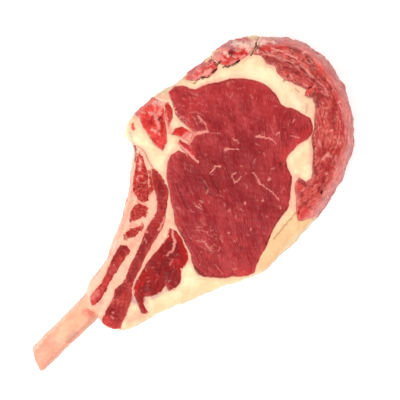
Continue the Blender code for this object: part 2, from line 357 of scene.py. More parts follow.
def sculpt(piece, crown, lumps, veins=(), clefts=(), fan=None, rings=None, **tints):
    """Gives a fine copy its natural surface, and keeps what the materials need to know.

    The crown is how far the flesh stands up inside its seams, and the lumps are pairs of size
    and height, in mm. Fibres fan out from one place in mm, or ring another. The tints are
    further sets of strokes, each kept under its own name.
    """
    data = piece.data
    points, directions = corners_of(data), directions_of(data)
    seam = seam_distance(data, points)
    flat = np.clip((np.abs(directions[:, 2]) - 0.6) / 0.3, 0, 1)
    upper = flat * (points[:, 2] > THICKNESS / 2)
    lower = flat - upper
    places = points.copy()
    places[:, :2] += np.where(lower > 0, UNDER_SHIFT, 0)[:, None]
    level = np.clip((np.abs(directions[:, 2]) - 0.2) / 0.35, 0, 1)
    vein = stroke_shade(places, veins) * level
    cleft = stroke_shade(places, clefts, seed=4) * level

    height = np.zeros(len(points))
    for number, (size, rise) in enumerate(lumps):
        height += rise * MM * wander(points, size * MM, 20 + number)
    height *= np.clip(seam / (1.2 * MM), 0, 1)
    height += crown * MM * (1 - np.exp(-seam / (1.6 * MM)))
    height += VEIN_RISE * vein - CLEFT_DEPTH * cleft
    moved = points + directions * (height * (1 - lower))[:, None]
    moved[:, 2] -= upper * SEAM_DIP * np.exp(-seam / (0.7 * MM))
    in_meat = np.clip((points[:, 0] - MEAT_START) / MEAT_FADE, 0, 1)
    for axis in (0, 1):
        sway = 0.55 * wander(points, 17 * MM, 1 + axis) + 0.2 * wander(points, 5 * MM, 3 + axis)
        moved[:, axis] += sway * MM * (0.35 + 0.65 * in_meat)
    rim, way = near_outline(points)
    belly = 1 - (2 * points[:, 2] / THICKNESS - 1) ** 2
    push = 1 + 0.8 * wander(points, 22 * MM, 8) + 0.2 * wander(points, 8 * MM, 9)
    push = (belly * push - 1.2) * MM * np.exp(-(rim / BULGE_DEPTH) ** 2)
    moved[:, :2] += way * (push * in_meat)[:, None]
    ground = points * (1, 1, 0)
    swell = 0.5 * MM * wander(ground, 38 * MM, 5) + 0.25 * MM * wander(ground, 14 * MM, 6)
    moved[:, 2] += swell * (points[:, 2] / THICKNESS) ** 2
    data.vertices.foreach_set("co", moved.astype(np.float32).ravel())
    data.update()
    store(piece, "seam", seam / MM)
    store(piece, "veins", vein)
    store(piece, "clefts", cleft)
    store(piece, "outside", np.clip((0.5 - np.abs(directions[:, 2])) / 0.35, 0, 1))
    store(piece, "rim", rim / MM)
    centre = np.array(fan or rings or FAR_END) * MM
    radius = np.linalg.norm(points[:, :2] - centre, axis=1)
    arc = np.arctan2(*(points[:, :2] - centre).T[::-1]) * radius.mean()
    store(piece, "along", arc if rings else radius)
    store(piece, "across", radius if rings else arc)
    for name, strokes in tints.items():
        store(piece, name, stroke_shade(places, strokes, wobble=0.7 * MM, seed=7) * level)
    data.polygons.foreach_set("use_smooth", np.ones(len(data.polygons), bool))


class Strand:
    """A socket in a shader. Arithmetic on it adds Math nodes, and node() adds any other."""

    def __init__(self, tree, socket=None):
        self.tree, self.socket = tree, socket

    def node(self, kind, sockets=None, out=0, **settings):
        made = self.tree.nodes.new(kind)
        for name, value in settings.items():
            setattr(made, name, value)
        for name, value in (sockets or {}).items():
            if isinstance(value, Strand):
                self.tree.links.new(value.socket, made.inputs[name])
            else:
                made.inputs[name].default_value = value
        return Strand(self.tree, made.outputs[out])

    def math(self, operation, *values):
        return self.node("ShaderNodeMath", dict(enumerate(values)), operation=operation)

    def __add__(self, other):
        return self.math("ADD", self, other)

    def __sub__(self, other):
        return self.math("SUBTRACT", self, other)

    def __rsub__(self, other):
        return self.math("SUBTRACT", other, self)

    def __mul__(self, other):
        return self.math("MULTIPLY", self, other)

    def step(self, low, high):
        """0 below the first value and 1 above the second, with a soft rise between."""
        sockets = {"Value": self, "From Min": low, "From Max": high}
        return self.node("ShaderNodeMapRange", sockets, interpolation_type="SMOOTHSTEP")

    def blend(self, first, second):
        """The first colour at 0 and below, and the second at 1 and above."""
        sockets = {0: self, 6: paint(first), 7: paint(second)}
        return self.node("ShaderNodeMix", sockets, out=2, data_type="RGBA")

    def noise(self, size, detail=2, roughness=0.5, out=0):
        sockets = {"Vector": self, "Scale": 1 / size, "Detail": detail, "Roughness": roughness}
        return self.node("ShaderNodeTexNoise", sockets, out=out)

    def cells(self, size, feature):
        sockets = {"Vector": self, "Scale": 1 / size}
        return self.node("ShaderNodeTexVoronoi", sockets, feature=feature)

    def swayed(self, size, reach):
        """These coordinates pushed about by noise, so that a pattern on them meanders."""
        push = self.node(
            "ShaderNodeVectorMath",
            {0: self.noise(size, 2, out=1), 1: (0.5, 0.5, 0.5)},
            operation="SUBTRACT",
        )
        sockets = {0: push, 1: (reach, reach, reach), 2: self}
        return self.node("ShaderNodeVectorMath", sockets, operation="MULTIPLY_ADD")

    def scaled(self, scale):
        return self.node("ShaderNodeMapping", {"Vector": self, "Scale": scale})

    def kept(self, name):
        """A value that the mesh keeps for each corner."""
        return self.node("ShaderNodeAttribute", out=2, attribute_name=name)

    def place(self):
        return self.node("ShaderNodeTexCoord", out=3)

    def fibres(self, length):
        """Coordinates that follow the fibres, in which a pattern is drawn out to this length."""
        height = self.node("ShaderNodeSeparateXYZ", {0: self.place()}, out=2)
        sockets = {0: self.kept("along") * (1 / length), 1: self.kept("across"), 2: height * 0.6}
        return self.node("ShaderNodeCombineXYZ", sockets)


LIGHT_GAIN = 1.49             # how much the light lifts a colour
GLOSS_VEIL = 0.022            # what the moist surface adds to it


def paint(colour):
    """A colour that shows as these screen values, from 0 to 255, under this light."""
    if isinstance(colour, Strand):
        return colour
    channels = []
    for value in colour:
        share = value / 255
        shown = share / 12.92 if share <= 0.04045 else ((share + 0.055) / 1.055) ** 2.4
        channels.append(max(0.002, (shown - GLOSS_VEIL) / LIGHT_GAIN))
    return (*channels, 1)


def new_finish(name, gloss):
    """A material, its shader, and a strand to build the rest of it from."""
    material = bpy.data.materials.new(name)
    material.use_nodes = True
    shader = material.node_tree.nodes["Principled BSDF"]
    shader.inputs["Specular IOR Level"].default_value = gloss
    return material, shader, Strand(material.node_tree)


def connect(shader, colour, roughness, height, depth):
    """Joins a colour, a roughness, and a relief of some depth to a shader."""
    links = {"Base Color": colour, "Roughness": roughness}
    sockets = {"Height": height, "Strength": 0.6, "Distance": depth}
    links["Normal"] = colour.node("ShaderNodeBump", sockets)
    for name, strand in links.items():
        strand.tree.links.new(strand.socket, shader.inputs[name])


TINTS = {
    "deep": (132, 34, 38),
    "blood": (222, 66, 62),
    "flush": (246, 158, 144),
    "cream": (254, 218, 198),
    "pale": (254, 242, 202),
    "mauve": (176, 128, 136),
    "veins": (240, 148, 136),
    # Clefts are sunk into the mesh and also painted dark: painted shade down in the slits.
    "clefts": (92, 34, 34),
    "marrow": (184, 54, 48),
}
FAT_CREAM = (250, 208, 178)
SKIN_PINK = (234, 158, 150)
SKIN_PALE = (252, 226, 212)


def tinted(colour, grain, names, **own):
    """A colour with the drawn tints laid over it one by one, broken up by the grain."""
    for name in names:
        drawn = colour.kept(name) * (grain * 1.1 + 0.5)
        colour = drawn.blend(colour, own.get(name, TINTS[name]))
    return colour


def lean_finish(
    name, deep, middle, bright, fresh,
    length=3, streaks=0.3, gaps=0.3, flecks=0.3, ragged=0.5, skin=0
):
    """Moist lean: fibres in bundles, darker and lighter clouds, fine marbling, drawn veins."""
    material, shader, strand = new_finish(name, 0.18)
    place, seam = strand.place(), strand.kept("seam")
    sway = strand.fibres(length).swayed(6 * MM, 1.5 * MM)
    threads = sway.noise(1.5 * MM, 3, 0.6)
    bundles = sway.cells(2.3 * MM, "DISTANCE_TO_EDGE")
    clouds = place.noise(10 * MM, 3, 0.6)
    grain = place.swayed(3 * MM, 1.5 * MM).noise(1.1 * MM, 3, 0.6)
    tone = clouds * 0.35 + threads * 0.25 + sway.noise(4.2 * MM, 2, 0.5) * 0.25
    tone = tone + place.noise(32 * MM, 2, 0.5) * 0.15
    colour = tone.step(0.42, 0.58).blend(deep, middle)
    near_seam = 1 - seam.step(0.2, 5)
    colour = (near_seam * 0.6 * grain.step(0.2, 0.7)).blend(colour, bright)
    colour = (threads.step(0.54, 0.74) * clouds.step(0.3, 0.6) * streaks).blend(colour, bright)
    apart = (1 - bundles.step(0, 0.13)) * grain.step(0.35, 0.6) * clouds.step(0.3, 0.6)
    colour = (apart * gaps).blend(colour, deep)
    specks = sway.noise(2.2 * MM, 3, 0.7).step(0.62, 0.72) * flecks
    colour = specks.blend(colour, TINTS["veins"])
    names = ("deep", "blood", "flush", "cream", "veins")
    colour = tinted(colour, grain, names, blood=fresh)
    outside = strand.kept("outside").step(0.1, 0.7)
    rim = strand.kept("rim") + threads * 6 - 3
    streaked = sway.noise(1.2 * MM, 3, 0.6).step(0.36, 0.6) * 0.5 + 0.5
    blush = (1 - rim.step(2, 9.5)) * (1 - outside * 0.6) * streaked
    colour = (blush * skin).blend(colour, (252, 166, 160))
    fringe = place.noise(2.6 * MM, 3, 0.6) * ragged * 2 - seam
    colour = fringe.step(ragged - 0.2, ragged + 0.2).blend(colour, FAT_CREAM)
    edge = 1 - seam.step(0, 0.7)
    colour = (edge * (grain * 0.6 + 0.35)).blend(colour, (224, 124, 110))
    hang = place.scaled((1, 1, 0.3)).swayed(8 * MM, 4 * MM)
    film = hang.noise(9 * MM, 4, 0.65).step(0.44, 0.62) * 0.7
    colour = (film * outside).blend(colour, SKIN_PINK)
    shreds = place.swayed(6 * MM, 5 * MM).noise(7 * MM, 4, 0.7).step(0.56, 0.66) * 0.6
    colour = (shreds * outside).blend(colour, SKIN_PALE)
    cover = hang.noise(9 * MM, 4, 0.6) * 50 - 19 - seam
    colour = (cover.step(0, 3) * outside).blend(colour, (248, 204, 160))
    # The outermost millimetre of each upper and lower face is painted a pale mauve line, scaled by skin:
    # the membrane at the very edge, with a painted highlight and painted shade where the edge rounds
    # over.
    line = (1 - strand.kept("rim").step(0.3, 1.3)) * (1 - outside) * skin
    colour = line.blend(colour, (222, 178, 186))
    colour = tinted(colour, grain, ("mauve", "clefts"))
    height = bundles.step(0, 0.16) * (gaps + 0.2) + threads + grain * 0.4
    connect(shader, colour, grain * 0.25 + 0.34, height, 0.4 * MM)
    return material


def dress(piece, node, material):
    """Puts a finished piece in the place of its solid."""
    piece.data.materials.append(material)
    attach(piece, "root")
    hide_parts(node)


def flesh(node, name, slot, finish, *shape, **drawn):
    """Cuts, sculpts and dresses the piece that takes a solid's place."""
    piece = fine_copy(node, name)
    sculpt(piece, *shape, **drawn)
    dress(piece, node, finish)


EYE_VEINS = (
    (1.5, 1, 35.4, 38, 35.9, 33, 36.4, 27, 36.6, 21, 36.2, 17),
    (1, 0.8, 37, 4.2, 41, 4, 43, 5.2, 45.6, 2.2), (0.9, 0.7, 46, -9, 48.4, -8, 50.6, -8.8),
    (0.8, 0.5, 46, -9, 45.6, -12.4), (1, 0.8, 45, -13, 47, -13.8), (1, 0.8, 48.5, -14, 51.5, -13.7),
    (0.9, 0.7, 60, -18, 60, -22.5, 58.6, -27.5, 59.3, -33, 60.3, -38, 59.4, -46),
    (1.8, 0.8, 58.4, -26, 57.8, -28), (1.6, 0.8, 57.2, 9, 59.5, 7.6),
    (1, 0.8, 60, 7.2, 62.4, 4.6, 64.2, 2.4), (0.9, 0.7, 67.4, 10.5, 68.4, 4.6),
    (0.7, 0.5, 59, 25, 61.2, 23, 63.2, 19.6), (1.7, 0.9, 81, -0.8, 82.2, -2.2),
    (1.2, 0.9, 82.5, -2.4, 85.2, -7, 87.6, -10), (0.9, 0.6, 87.6, -10, 87.6, -15),
    (1, 0.7, 92, -10.8, 94.4, -10.9), (1, 0.5, 100.6, -11.3), (1, 0.7, 108.4, -13.2, 109.8, -12),
    (0.8, 0.6, 99.4, -19, 103.2, -23.8), (0.8, 0.5, 64, -13.6, 68, -12.4), (1.8, 0.7, 64.8, -30),
    (1.4, 0.5, 71.6, -25.4, 72.6, -26.6), (1, 0.7, 11.8, -5.6, 12.9, -10),
    (1.6, 0.5, 17.2, -5.4, 17.4, -7.4), (1.1, 0.7, 25.2, -4.4, 26.2, -3.2),
    (0.6, 0.4, 30, -12, 30.6, -16), (1, 0.5, 27.4, -20.6, 28.6, -18.6), (1.2, 0.5, 7, -15.4),
    (1, 0.6, -3.6, -27, -2.8, -31, -4, -35), (1.6, 0.5, -2.6, -30), (0.8, 0.4, 1.6, -21, 4.2, -25),
    (1, 0.5, -17, -39), (1.6, 0.4, 13.4, -45), (1.4, 0.8, 15.3, -37.4), (1.6, 0.6, 28.4, -46.6),
    (1.1, 0.7, 39.2, -30.6, 40.4, -30), (1.4, 0.8, 50.2, -38.4), (1.4, 0.6, 44, -49),
    (1.8, 0.7, 56.4, -50.6), (0.8, 0.4, -9, -47, -9.4, -56), (1.4, 0.4, -2.6, -59.4, -0.6, -60),
    (2.2, 1, 47.6, 33.6, 52, 31.8, 57.4, 28.6), (0.9, 0.6, 57.8, 28.6, 60.8, 31.6),
    (1.5, 0.8, 60.4, 39.6, 60.2, 36), (1, 0.7, 60.9, 32, 60.8, 37, 60.2, 41.4),
    (1, 0.4, 58, 43.4, 57.4, 40), (1.6, 0.9, 49, 55.8, 51.4, 54.4), (1.5, 0.9, 50, 59.2, 53, 57.8),
    (1.3, 0.8, 48, 51.4, 50, 49.8), (0.6, 0.4, 25.6, 21, 26.8, 18.6), (0.6, 0.4, 29.2, 18.4, 27, 15.6),
    (0.7, 0.3, 96, 34, 101, 31), (0.7, 0.35, 88, 34, 92, 35),
)
# The narrow strokes that follow the eye's outer seam, round its left side from (-9.4, -6), along its
# lower edge, and at its right side near x 112 to 119, are painted shade in the crevice there; the rest
# are darker lean.
EYE_DEEP = (
    (36, 0.35, 34, 6, 56, -4, 52, -38), (1, 0.7, 14, 16, 11.6, 10, 8.6, 5, 7.6, -2),
    (0.9, 0.6, 20, 14, 17, 8), (1.1, 0.8, 28.6, 6, 27, 1, 25.8, -3, 25.2, -8),
    (0.9, 0.5, 36, 1, 33, -5, 31.4, -12), (0.9, 0.5, 30.6, 20, 31.4, 10),
    (1.6, 0.9, -9.4, -6, -11.6, -16, -14.8, -24, -19.4, -31.6, -21.4, -37),
    (1.8, 1, -21.4, -37, -21.2, -42, -19.4, -47), (1.2, 0.8, -17, -50, -11, -57, -4, -64),
    (1.4, 0.8, 28, -63.6, 38, -60, 48, -56.8, 60, -54.8),
    (1.2, 0.7, 64, -52, 71, -46.6, 77.4, -40.6, 81, -31), (3, 0.7, 77, -31, 78.6, -28),
    (5, 0.5, 54, -41, 57, -38), (1.4, 0.6, 63, -42.6, 69, -37, 76, -33),
    (1.4, 0.6, 65, -46, 71, -42, 76, -37), (1.2, 0.5, 26, -54, 29, -49), (1.2, 0.5, 8, -60, 9, -55),
    (1.2, 0.5, 14, -52, 13, -44, 12, -37), (1.2, 0.5, -10.6, -40, -12, -49),
    (1.4, 0.8, 118.6, -20, 115.6, -25.4, 111, -29), (1.2, 0.7, 113.4, 18, 111.8, 4, 116, -8),
    (1.6, 0.9, 49.4, 44, 49, 50, 52, 55), (1.6, 0.7, 54.6, 60, 56.4, 64),
    (1.2, 0.7, 74.6, 57.4, 84, 51.6, 92, 46.6, 100, 40.6), (2, 0.4, 58, 56, 55, 50),
    (1, 0.5, 70, 20, 71, 10, 69, -2), (1, 0.5, 64, 34, 66, 24, 65, 12), (1, 0.4, 78, 30, 79, 18),
    (1, 0.4, 86, 26, 88, 12),
)
EYE_BLOOD = (
    (7, 0.5, -1, -64, 7, -70), (5, 0.3, -13, -50, -6, -60), (6, 0.5, 84, -25, 112, -25),
    (5, 0.45, 55, 48, 52, 40), (5, 0.4, 59, 68, 57, 62), (4, 0.75, 38.2, 36, 38.4, 31, 38, 25),
    (5, 0.4, 71, 56, 75, 54), (16, 0.22, 80, 44, 104, 26, 104, 4), (14, 0.3, 60, 54, 66, 46),
    (8, 0.25, 62, -50, 78, -34),
)
scatter = np.random.default_rng(7)


def stray_flecks(count, low, high, heading, spread, longest, bold=1):
    """Short flecks scattered over part of a cut face, lying roughly along the grain."""
    flecks = []
    for _ in range(count):
        x, y = scatter.uniform(low[0], high[0]), scatter.uniform(low[1], high[1])
        angle = math.radians(scatter.normal(heading, spread))
        length = scatter.uniform(0.4, longest)
        end = (x + length * math.cos(angle), y + length * math.sin(angle))
        strength = bold * scatter.uniform(0.15, 0.5)
        flecks.append((scatter.uniform(0.5, 0.9) * bold ** 0.5, strength, x, y, *end))
    return tuple(flecks)


eye_lean = lean_finish(
    "eye_lean", (158, 49, 52), (190, 68, 69), (208, 88, 85), (206, 62, 62),
    length=4, gaps=0.35,
)
flesh(
    "eye_muscle", "eye_lean", "lean", eye_lean, 0.3, ((11, 0.22), (4.6, 0.12)),
    EYE_VEINS
    + stray_flecks(120, (-20, -70), (116, 68), 80, 35, 3.2)
    + stray_flecks(50, (-8, -40), (8, -18), 100, 40, 3)
    + stray_flecks(60, (42, 34), (72, 60), 112, 16, 4),
    (
        (1.2, 0.3, 29.4, 6, 27.6, 1, 26.2, -3, 25.4, -8), (1.1, 0.26, 14, 16, 11.6, 10, 8.6, 5, 7.2, -3),
        (1.1, 0.22, 19.6, 14, 17, 8, 15.6, 3), (1.1, 0.2, 36, 1, 33, -5, 31.4, -12),
    ),
    fan=(-53, -163),
    deep=EYE_DEEP + stray_flecks(70, (-10, -66), (112, 50), 68, 14, 9), blood=EYE_BLOOD,
)

# Cap of the rib and the muscles above it
# The long flat muscle along the outside, with coarse open grain, and two thinner strips over
# the crescent of fat. A thin pale membrane covers their outside.
CAP_VEINS = (
    (1.4, 1, 136.4, 38.5, 137.4, 34.5, 139.4, 30.4, 141.5, 26, 143.4, 22, 144, 19),
    (1.2, 0.8, 128.6, 40, 131, 36, 132.6, 32.6, 133.2, 30.6, 134, 27.5, 136, 24.6),
    (1.2, 0.7, 135, 28, 137, 25, 138.2, 22.6, 139.6, 19),
    (1.4, 0.9, 142, 13.4, 142.7, 9, 142.2, 5, 142.4, 0.4),
    (1.1, 0.7, 142.8, -11, 141.6, -14.5, 140.4, -17), (1.7, 0.8, 142.4, -25.6, 144.4, -26.4),
    (1.1, 0.7, 141.6, -28, 140, -33.4), (1.4, 0.7, 142.4, -34),
    (2.2, 0.8, 104, -48.4, 107, -48, 110, -48.3), (1.4, 0.6, 108, -49.4, 109.6, -51.6),
    (1.9, 0.9, 97.8, -57), (1.8, 0.8, 121.3, -48), (1.2, 0.5, 121.4, -46, 122, -42),
    (1.8, 0.7, 123.8, -37.4), (1.2, 0.4, 113.6, -52.6, 110.6, -56.4),
    (1.2, 0.4, 105.6, -61.4, 109, -57.4), (1.6, 0.6, 105, -62.6), (1.6, 0.6, 70.6, -70.6),
    (1.6, 0.5, 88.4, -67), (1.6, 0.6, 142.6, 36, 142.8, 33.4),
    (1.4, 0.8, 148.8, 36.6, 150.6, 33.6, 153, 30.4), (1.4, 0.6, 146, 34, 148, 33.4),
    (2.4, 0.7, 151, 27, 152.4, 23.4), (2.2, 0.8, 150.2, 18.6, 153.4, 17),
    (1.4, 0.4, 131.6, -21, 134.4, -24), (2, 0.6, 137.6, -4.6),
)
CAP_DEEP = (
    (5, 0.6, 127, 34, 130, 30, 133.6, 26), (6, 0.5, 130, 22, 136, 18, 137.6, 12),
    (2.4, 0.8, 137.2, 21.6, 138.6, 17), (2.4, 0.7, 144.6, 30, 147.4, 28, 149.4, 25.6),
    (3, 0.7, 147, 24.4, 149, 23), (2.2, 0.7, 149.4, 17.6, 150.6, 12), (2, 0.9, 148, 12, 148.6, 8),
    (1.8, 0.7, 140.6, 12, 140.4, 0, 141.2, -8), (3, 0.6, 129.6, -3, 131, -8, 134, -11),
    (3.6, 0.7, 128.8, -17.4, 132, -14.4, 136, -12.6), (2, 0.6, 137.8, -15, 138.2, -18.6),
    (2, 0.5, 132, -31, 128, -34, 125, -37), (2, 0.4, 118, -36, 121, -40),
    (2.6, 0.7, 79.4, -47.6, 80.6, -52.4), (2.6, 0.7, 92.6, -53.4, 95.4, -47.6),
    (2, 0.8, 84.8, -62.4, 90, -60.6, 95, -58.6), (1.8, 0.9, 85, -65, 92, -63.6, 98.6, -62.6),
    (1.6, 0.6, 65, -62.4, 74, -62, 79, -62.4), (2.4, 0.6, 107.4, -56.8), (2.4, 0.7, 81, -69, 83, -68.6),
    (2.4, 0.6, 71.4, -67.4), (1.6, 0.8, 131, -11, 125, -16.6, 118.6, -24, 109, -33, 99, -42, 90, -50.4),
    (1.4, 0.7, 125.4, 33.4, 127, 30, 128.6, 26), (1.4, 0.7, 126.6, 24, 125.8, 20),
    (1.6, 0.6, 123.6, 42, 126.6, 39, 126.8, 35), (1.4, 0.7, 127, 12.4, 130, 5, 132.4, 0),
    (1.6, 0.6, 134, 14, 137, 9),
)
CAP_BLOOD = (
    (6, 0.8, 61.6, -67, 66, -65, 67.6, -70), (5, 0.7, 95, -65.4, 101, -63.6),
    (4, 0.6, 77, -48.6, 76, -51), (5, 0.6, 132, 41.6, 136, 39.6), (4, 0.8, 130.6, -3.6, 134.4, -5),
    (5, 0.6, 152.4, 5, 149.6, -1), (4, 0.6, 141, 36, 142.6, 31), (4, 0.4, 131, 14, 129, 18),
)
CAP_CREAM = (
    (6, 1, 133, 47.8, 135.6, 46.4), (3.4, 0.9, 137, 48, 139.6, 45, 141, 40.4),
    (3.4, 0.8, 143.4, 43, 146, 40.6, 149, 38), (1.8, 0.6, 126.4, 45.2, 126, 44),
)
CAP_CENTRE = (91, -1)         # what the fibres of the cap and the torn strips ring
cap_lean = lean_finish(
    "cap_lean", (184, 60, 58), (224, 102, 94), (242, 146, 134), (226, 72, 66),
    length=7, streaks=0.6, gaps=0.75, flecks=0.6, ragged=1.2, skin=0.85,
)
flesh(
    "cap_muscle", "cap_lean", "cap_lean", cap_lean, 0.3, ((9, 0.4), (3.8, 0.24)),
    CAP_VEINS
    + stray_flecks(90, (128, -20), (156, 44), 88, 18, 6, 1.5)
    + stray_flecks(130, (60, -70), (150, -20), 52, 24, 5, 1.4),
    (
        (0.9, 0.7, 133, -2.3, 136.8, -2.8), (1.8, 0.9, 63.8, -63.6), (1.6, 0.9, 85.4, -65, 86.6, -64.8),
        (1.2, 0.6, 128, 14.4, 130.4, 14.8), (1.4, 0.8, 126, 46.4, 130.6, 48.4),
    ),
    rings=CAP_CENTRE,
    deep=CAP_DEEP
    + stray_flecks(100, (128, -20), (150, 44), 88, 14, 10, 1.8)
    + stray_flecks(120, (60, -66), (140, -20), 42, 16, 9, 1.6),
    blood=CAP_BLOOD, cream=CAP_CREAM, mauve=((1.6, 0.6, 141.6, 43, 142.6, 38),),
    flush=((3.4, 0.5, 133, 47.6, 139, 44, 145, 39.6),),
)

torn_lean = lean_finish(
    "torn_lean", (188, 52, 50), (226, 84, 78), (246, 150, 138), (218, 58, 54),
    length=4, streaks=0.6, gaps=0.5, flecks=0.6, ragged=0.9, skin=0.3,
)
flesh(
    "upper_strip_muscle", "upper_strip_lean", "cap_lean", torn_lean, 0.4, ((6, 0.45), (3.4, 0.25)),
    (
        (1.8, 0.8, 80, 66.5, 80.5, 63.6), (1.8, 0.7, 85, 66.2, 86.2, 64.6),
        (1.2, 0.7, 91, 64.4, 92.6, 62), (1.2, 0.8, 94, 65.6, 94.6, 62), (1.6, 0.8, 97, 63.2, 98, 61.6),
    ),
    ((1.4, 0.9, 91, 56.4, 95.2, 55.8), (1, 0.7, 97, 58.4, 99, 57.8), (1.2, 0.7, 98.2, 61, 99.4, 60.2)),
    deep=(
        (3, 0.8, 88, 63.8, 90.4, 61), (2.6, 0.6, 86, 66.8, 93, 66),
        (2.6, 0.8, 96.4, 65, 99, 63, 99.3, 60.5),
    ),
    rings=CAP_CENTRE,
    blood=((6, 0.7, 76, 68, 84, 64.6, 94, 60),),
    flush=((3.4, 0.9, 83, 60.6, 88, 59.4, 91, 58), (2.4, 0.6, 79, 69, 90, 67.6)),
    # This mauve stroke runs along the slice's upper outline: painted shade at the edge.
    mauve=((1.6, 0.8, 75, 70, 84, 68.8, 95, 67.6),),
)

CORNER_CLEFTS = (
    (1.2, 0.9, 100.2, 53.8, 101.6, 53.4), (1, 1, 102.4, 51.8, 104.6, 50.3, 108, 49.2, 111.5, 48),
    (1, 1, 120.4, 46.1, 125, 46.9, 128.6, 47.6, 130.4, 49.8), (1, 0.7, 100, 58, 102.2, 58.6),
)
flesh(
    "upper_corner_muscle", "upper_corner_lean", "cap_lean", torn_lean, 0.5, ((7, 0.4), (3.2, 0.3)),
    (
        (2, 0.9, 111, 54, 111.6, 52.4), (1.5, 0.7, 104, 52.7, 107, 51.5, 110.4, 50),
        (1.6, 0.6, 120.8, 49.6, 124, 49),
    ),
    CORNER_CLEFTS,
    rings=CAP_CENTRE,
    cream=(
        (5, 0.3, 100.6, 64, 104, 65, 109, 64), (4.6, 0.9, 117.6, 62.6, 119.4, 59, 121.4, 56),
        (5, 0.8, 124.6, 54, 127, 51.6, 130.4, 51.6), (2.4, 0.8, 121.6, 50, 124, 49, 128.4, 49),
        (2.4, 0.6, 108.4, 60.6, 108.8, 57.4),
    ),
    flush=(
        (2.4, 0.7, 104, 60, 104.4, 57), (3, 0.8, 125.4, 58.8, 128, 56.4, 131.4, 53.4),
        (4, 0.5, 110.6, 60.6, 113, 61.6), (4, 0.6, 101, 61, 104, 60), (3, 0.6, 116, 55.4, 118.6, 53.4),
        (2.4, 0.7, 113.6, 50, 116, 48.8),
    ),
    blood=(
        (3.6, 0.9, 106, 61, 106.6, 57, 105, 54.6), (3, 0.7, 102.2, 57, 103.4, 55.4),
        (5.4, 0.8, 113, 52, 116, 51, 120.4, 53.6), (2, 0.7, 118.6, 48.8, 119.6, 51),
        (2.4, 0.7, 122, 61, 127, 57.6, 131, 54.6), (3, 0.6, 121.4, 58, 124, 55.8),
    ),
    deep=(
        (5, 0.9, 111.4, 57, 114, 56.4), (1.6, 0.8, 110, 51.6, 111.6, 52.2),
        (1.8, 0.8, 102, 53, 105, 51.4),
    ),
    mauve=((2.6, 0.6, 111, 65.2, 115, 63.6, 118, 62.6), (2.4, 0.5, 114.6, 60.6, 115.6, 57)),
)

# Tail, flank strip and rib strip
# Three bands of darker lean that run down to the scraped bone, cut nearly along the grain,
# and a small wedge of lean beside the backbone.
tail_lean = lean_finish(
    "tail_lean", (130, 16, 21), (168, 30, 31), (196, 62, 58), (198, 44, 42),
    length=4, streaks=0.15, gaps=0.2, flecks=0.1, ragged=2,
)
flesh(
    "tail_muscle", "tail_lean", "tail_lean", tail_lean, 0.3, ((9, 0.25), (3.6, 0.15)),
    (
        (1.7, 1, -12.2, -5.5, -15.4, -8, -18, -12, -20.6, -15.4, -24, -16.8),
        (1.4, 0.7, -24, -16.8, -29, -16.2), (0.9, 0.5, -33, -23, -29, -21),
    ) + stray_flecks(16, (-66, -32), (-16, -12), 10, 30, 3),
    deep=(
        (7, 0.6, -30, -11, -24, -12), (8, 0.5, -38, -28, -36, -34), (6, 0.4, -56, -22, -48, -27),
        (1.4, 0.8, -61, -28.6, -54, -31, -47, -30), (1.4, 0.8, -47, -35.6, -40, -37.4, -34, -35),
        (1.4, 0.7, -68.6, -20, -69, -26, -73, -33), (1, 0.5, -60, -13, -45, -10.6, -28, -8.8),
    ) + stray_flecks(30, (-66, -34), (-18, -12), 12, 14, 7),
    blood=(
        (6, 0.5, -14, -13, -15.6, -20, -20, -25), (4, 0.5, -66, -17, -58, -17),
        (7, 0.35, -30, -24, -24, -28),
    ),
)

strip_lean = lean_finish(
    "strip_lean", (148, 42, 40), (188, 66, 61), (208, 90, 84), (204, 66, 62),
    length=4, streaks=0.2, flecks=0.2, ragged=1.6,
)
flesh(
    "flank_strip_muscle", "flank_strip_lean", "tail_lean", strip_lean, 0.3, ((8, 0.25), (3.4, 0.18)),
    (
        (1.4, 0.9, -10, 6, -14, 3.3, -18, 2.4, -21, 1.5), (1.5, 0.8, -27.6, 6.2, -28.6, 8, -26.4, 9),
        (1, 0.6, -33, 1.4, -32, 4.4), (1.6, 0.6, -88.4, -18.4), (1.4, 0.6, -91.6, -21, -92, -19.6),
    ) + stray_flecks(26, (-98, -30), (4, 30), 30, 20, 4),
    deep=(
        (6, 0.5, -62, -9, -52, -5), (6, 0.5, -77, -11, -71, -9), (7, 0.6, -46, -4, -36, 2, -30, 3),
        (1.2, 0.8, -97, -16.6, -90, -13.4, -81, -10.4), (2, 0.7, -93, -17.6, -91, -17),
        (1.2, 0.6, -46, 0, -35, 4.6, -24, 9),
    ) + stray_flecks(30, (-98, -30), (4, 30), 28, 14, 7),
    blood=((5, 0.7, -96.4, -19.6, -94, -18), (5, 0.4, -98, -25, -94, -28), (5, 0.4, -20, 6, -10, 9)),
)

flesh(
    "rib_strip_muscle", "rib_strip_lean", "tail_lean", strip_lean, 0.3, ((6, 0.2), (3, 0.15)),
    stray_flecks(10, (-96, -5), (-46, 14), 20, 20, 3),
    ((1.4, 1, -92.4, -5.3, -86, -4, -79, -2.2), (1.1, 0.7, -80.6, 3.4, -77.4, 5)),
    deep=(
        (1.2, 0.8, -64, 8.8, -57, 12, -49, 13.6), (1.2, 0.6, -79, -0.4, -66, 2.4),
        (4, 0.6, -54, 10, -47, 12),
    ) + stray_flecks(14, (-96, -4), (-46, 14), 22, 10, 8),
    blood=((6, 0.75, -96, -2, -86, 0.4, -74, 2), (4, 0.4, -70, 5, -56, 8)),
    flush=((4, 0.3, -92, 1, -86, 1.6),),
)

flesh(
    "chine_muscle", "chine_muscle_lean", "tail_lean", torn_lean, 0.3, ((5, 0.25),),
    deep=((1.6, 0.8, 38.2, 42, 40, 45.6, 44.4, 46.2, 46.4, 43),),
    blood=((9, 1, 41, 42, 46, 38),),
    flush=(
        (3.4, 0.6, 41.6, 36, 44.6, 37.4, 47.4, 37), (2, 0.5, 39.6, 40, 40.6, 36),
        (6, 0.9, 43.6, 32.6, 47.4, 33.4),
    ),
    cream=((2, 0.4, 44.6, 32.6, 46.8, 34),),
)


